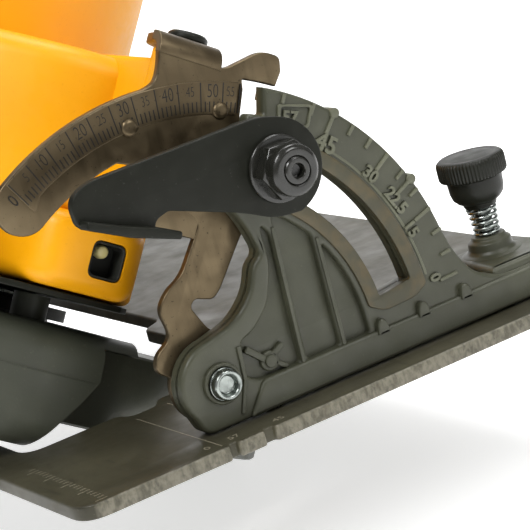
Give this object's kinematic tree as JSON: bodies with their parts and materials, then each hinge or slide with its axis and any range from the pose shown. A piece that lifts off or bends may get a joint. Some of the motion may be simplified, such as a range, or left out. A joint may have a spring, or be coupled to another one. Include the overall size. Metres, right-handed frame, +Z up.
{
  "type": "cordless circular saw",
  "caption": "Cordless circular saw tilted to full bevel, with shoe, bevel quadrant, clamp lever, guards, blade, motor, handles and battery.",
  "frame": {"origin": "on the underside of the shoe, straight below the front end of the bevel pivot", "axes": "+Z up out of the shoe, -Y the cutting direction (front of the saw), +X towards the motor side"},
  "size_m": [0.2412, 0.3277, 0.2362],
  "materials": {
    "guard_coat": "satin grey-green paint on die-cast metal",
    "shoe_coat": "satin dark grey coating",
    "bracket_steel": "dark bronze-toned plated steel",
    "black_steel": "satin black coated steel",
    "bright_steel": "bright plated steel",
    "yellow_plastic": "moulded yellow plastic, fine satin",
    "black_plastic": "black textured plastic",
    "soft_grip": "black moulded soft grip",
    "core_steel": "laminated steel with copper windings",
    "lens": "clear lamp lens"
  },
  "bodies": {
    "shoe": {"shoe_plate": "shoe_coat", "bevel_quadrant": "guard_coat", "quadrant_screw_1": "bright_steel", "quadrant_screw_2": "bright_steel", "rear_pivot_ear": "guard_coat", "rear_ear_screw_1": "bright_steel", "rear_ear_screw_2": "bright_steel", "front_pivot_rivet": "bright_steel", "rear_pivot_rivet": "bright_steel", "fence_spring": "bright_steel"},
    "fence_clamp": {"fence_knob": "black_plastic"},
    "bevel_frame": {"front_bracket": "bracket_steel", "bracket_button_1": "bracket_steel", "bracket_button_2": "bracket_steel", "depth_pivot_pin": "black_steel", "bevel_stud": "black_steel", "bevel_washer": "black_steel", "rear_bracket": "bracket_steel", "depth_arm": "bracket_steel"},
    "bevel_clamp": {"bevel_lever": "black_steel", "lever_nut": "black_steel"},
    "saw_body": {"upper_guard": "guard_coat", "dust_port": "black_plastic", "guard_spring": "bright_steel", "spindle_bearing_front": "bright_steel", "spindle_bearing_rear": "bright_steel", "stator_core": "core_steel", "motor_bearing_front": "bright_steel", "motor_bearing_rear": "bright_steel", "gear_case": "yellow_plastic", "gearcase_plate": "black_steel", "lamp_bezel": "black_plastic", "lamp_lens": "lens", "motor_housing": "yellow_plastic", "motor_cap": "black_plastic", "handle_left": "yellow_plastic", "handle_right": "yellow_plastic", "handle_screw_1": "bright_steel", "handle_screw_2": "bright_steel", "handle_grip": "soft_grip", "front_handle": "soft_grip", "depth_clamp_bolt": "bright_steel", "battery_mount": "black_plastic"},
    "lower_guard_body": {"lower_guard": "guard_coat", "guard_lever": "black_plastic"},
    "blade_spindle": {"blade": "bright_steel", "inner_flange": "bright_steel", "outer_flange": "bright_steel", "blade_bolt": "black_steel", "spindle": "bright_steel", "drive_gear": "bright_steel"},
    "motor_rotor": {"motor_shaft": "bright_steel", "rotor_core": "core_steel", "cooling_fan": "black_plastic"},
    "trigger_body": {"trigger": "black_plastic"},
    "lock_off_body": {"lock_off_button": "black_plastic"},
    "spindle_lock_body": {"spindle_lock_button": "black_plastic"},
    "depth_clamp": {"depth_lever": "black_plastic"},
    "battery": {"battery_pack": "black_plastic"},
    "battery_release": {"battery_latch": "black_plastic"}
  },
  "joints": [
    {"name": "bevel_tilt", "type": "hinge", "parent": "shoe", "child": "bevel_frame", "pos_m": [0, 0, 0.0159], "axis": [0, -1, 0], "range_deg": [-57, 0]},
    {"name": "bevel_clamp_turn", "type": "hinge", "parent": "bevel_frame", "child": "bevel_clamp", "pos_m": [0.02159, -0.017, 0.06676], "axis": [0, 1, 0], "range_deg": [0, 40]},
    {"name": "fence_clamp_turn", "type": "hinge", "parent": "shoe", "child": "fence_clamp", "pos_m": [0.097, 0.0165, 0.03], "axis": [0, 0, 1], "range_deg": [0, 360]},
    {"name": "depth_swing", "type": "hinge", "parent": "bevel_frame", "child": "saw_body", "pos_m": [0.01092, 0.018, 0.07678], "axis": [0.5446, 0, 0.8387], "range_deg": [0, 26]},
    {"name": "lower_guard_swing", "type": "hinge", "parent": "saw_body", "child": "lower_guard_body", "pos_m": [-0.01551, 0.145, 0.01405], "axis": [0.5446, 0, 0.8387], "range_deg": [0, 100], "stiffness_Nm_per_rad": 0.12, "springref_deg": -91.67},
    {"name": "blade_spin", "type": "hinge", "parent": "saw_body", "child": "blade_spindle", "pos_m": [-0.01633, 0.145, 0.01279], "axis": [0.5446, 0, 0.8387], "continuous": true},
    {"name": "rotor_spin", "type": "hinge", "parent": "saw_body", "child": "motor_rotor", "pos_m": [0.02988, 0.13511, 0.12288], "axis": [0.5446, 0, 0.8387], "continuous": true},
    {"name": "trigger_pull", "type": "hinge", "parent": "saw_body", "child": "trigger_body", "pos_m": [-0.08271, 0.139, 0.11254], "axis": [0.5446, 0, 0.8387], "range_deg": [0, 6], "stiffness_Nm_per_rad": 0.6, "springref_deg": -14.32},
    {"name": "lock_off_push", "type": "slide", "parent": "saw_body", "child": "lock_off_body", "axis": [0.5446, 0, 0.8387], "range_m": [-0.003, 0.003], "stiffness_N_per_m": 400},
    {"name": "spindle_lock_push", "type": "slide", "parent": "saw_body", "child": "spindle_lock_body", "axis": [0, -1, 0], "range_m": [0, 0.004], "stiffness_N_per_m": 600, "springref_m": -0.004},
    {"name": "depth_clamp_turn", "type": "hinge", "parent": "saw_body", "child": "depth_clamp", "pos_m": [-0.00319, 0.23248, 0.02751], "axis": [0.5446, 0, 0.8387], "range_deg": [-10, 25]},
    {"name": "battery_slide", "type": "slide", "parent": "saw_body", "child": "battery", "axis": [0, 1, 0], "range_m": [0, 0.09]},
    {"name": "battery_release_press", "type": "slide", "parent": "battery", "child": "battery_release", "axis": [0.8387, 0, -0.5446], "range_m": [0, 0.003], "stiffness_N_per_m": 600, "springref_m": -0.004}
  ],
  "couplings": [
    {"joint": "rotor_spin", "follows": "blade_spin", "ratio": -3}
  ]
}
